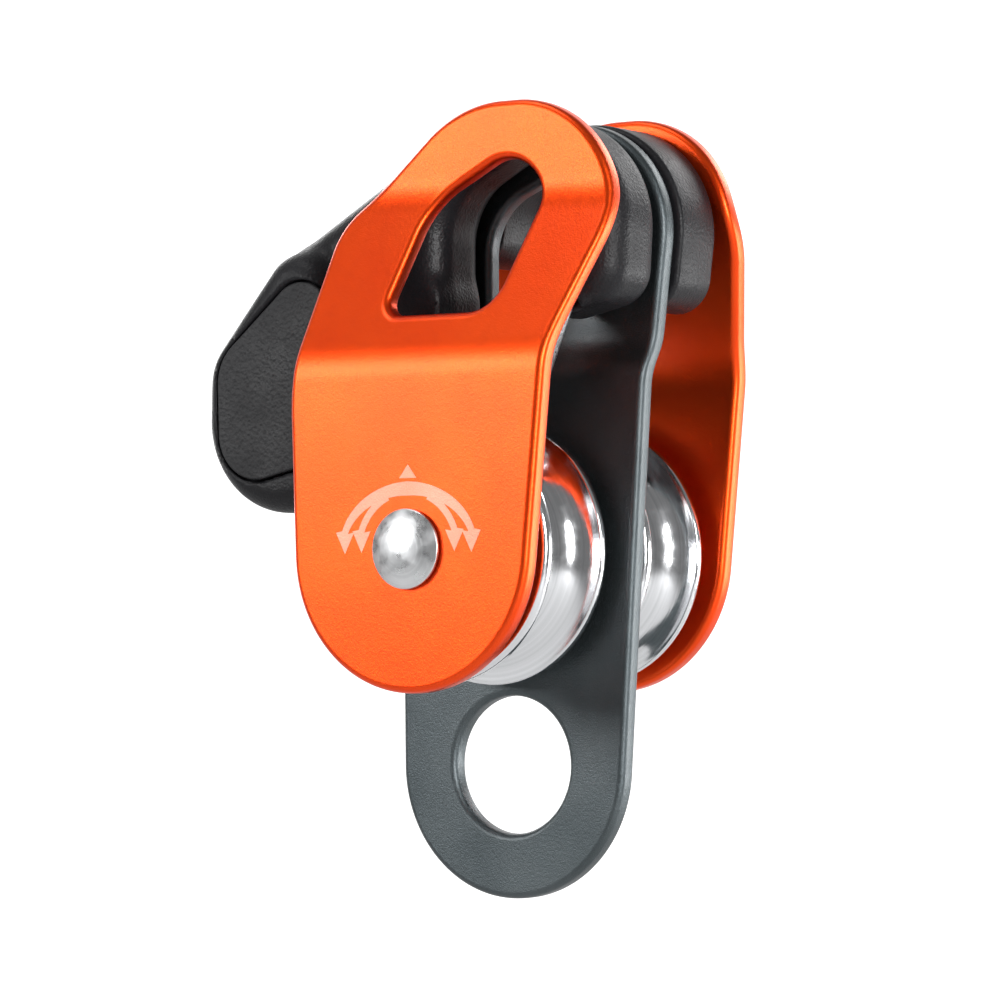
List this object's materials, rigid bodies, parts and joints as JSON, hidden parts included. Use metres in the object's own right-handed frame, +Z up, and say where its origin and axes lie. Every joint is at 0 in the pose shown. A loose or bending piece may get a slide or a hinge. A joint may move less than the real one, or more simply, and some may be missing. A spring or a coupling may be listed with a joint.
{
  "type": "double rope pulley with progress-capture cam",
  "caption": "Double rope pulley with swinging side plates, two grooved sheaves side by side, an upper and a lower eye, and a sprung toothed cam worked by a thumb lever.",
  "frame": {"origin": "connector's seat in the upper eye, on the middle plane of the centre plate", "axes": "+Z up, away from the sheaves; +Y to the rear, along the axle; +X to the right seen from the front, away from the thumb lever's paddle"},
  "size_m": [0.0693, 0.0563, 0.1082],
  "materials": {
    "orange_anodised": "satin orange anodised",
    "grey_anodised": "blasted gunmetal anodised",
    "turned_aluminium": "fine turned and polished",
    "axle_steel": "polished stainless",
    "pin_steel": "satin stainless",
    "cam_steel": "cast stainless, tumbled",
    "bush_bronze": "sintered bronze",
    "black_plastic": "fine grained moulded nylon",
    "spacer_plastic": "natural acetal"
  },
  "bodies": {
    "frame": {"centre_plate": "grey_anodised", "axle": "axle_steel", "axle_rear_head": "axle_steel", "front_sleeve": "pin_steel", "rear_sleeve": "pin_steel", "front_outer_spacer": "spacer_plastic", "front_inner_spacer": "spacer_plastic", "rear_outer_spacer": "spacer_plastic", "rear_inner_spacer": "spacer_plastic", "lever_pin": "axle_steel", "stop_pin": "pin_steel", "lever_spring": "pin_steel", "rear_arch_spacer": "black_plastic", "spacer_rivet_left": "pin_steel", "spacer_rivet_right": "pin_steel"},
    "front_plate": {"front_side_plate": "orange_anodised"},
    "rear_plate": {"rear_side_plate": "orange_anodised"},
    "front_wheel": {"front_sheave": "turned_aluminium", "front_bush": "bush_bronze"},
    "rear_wheel": {"rear_sheave": "turned_aluminium", "rear_bush": "bush_bronze"},
    "lever": {"thumb_lever": "black_plastic", "grip_insert": "black_plastic", "toothed_cam": "cam_steel", "cam_cross_pin": "pin_steel", "cam_flange": "pin_steel"}
  },
  "joints": [
    {"name": "front_plate_swing", "type": "hinge", "parent": "frame", "child": "front_plate", "pos_m": [-0.0089, -0.0243, -0.0469], "axis": [0, 1, 0], "range_deg": [0, 110]},
    {"name": "rear_plate_swing", "type": "hinge", "parent": "frame", "child": "rear_plate", "pos_m": [-0.0089, 0.0243, -0.0469], "axis": [0, 1, 0], "range_deg": [-110, 110]},
    {"name": "front_sheave_spin", "type": "hinge", "parent": "frame", "child": "front_wheel", "pos_m": [-0.0089, -0.01215, -0.0469], "axis": [0, 1, 0], "continuous": true},
    {"name": "rear_sheave_spin", "type": "hinge", "parent": "frame", "child": "rear_wheel", "pos_m": [-0.0089, 0.01215, -0.0469], "axis": [0, 1, 0], "continuous": true},
    {"name": "lever_swing", "type": "hinge", "parent": "frame", "child": "lever", "pos_m": [0.0043, -0.0075, -0.0105], "axis": [0, 1, 0], "range_deg": [0, 16], "stiffness_Nm_per_rad": 0.03, "springref_deg": -28.65}
  ]
}
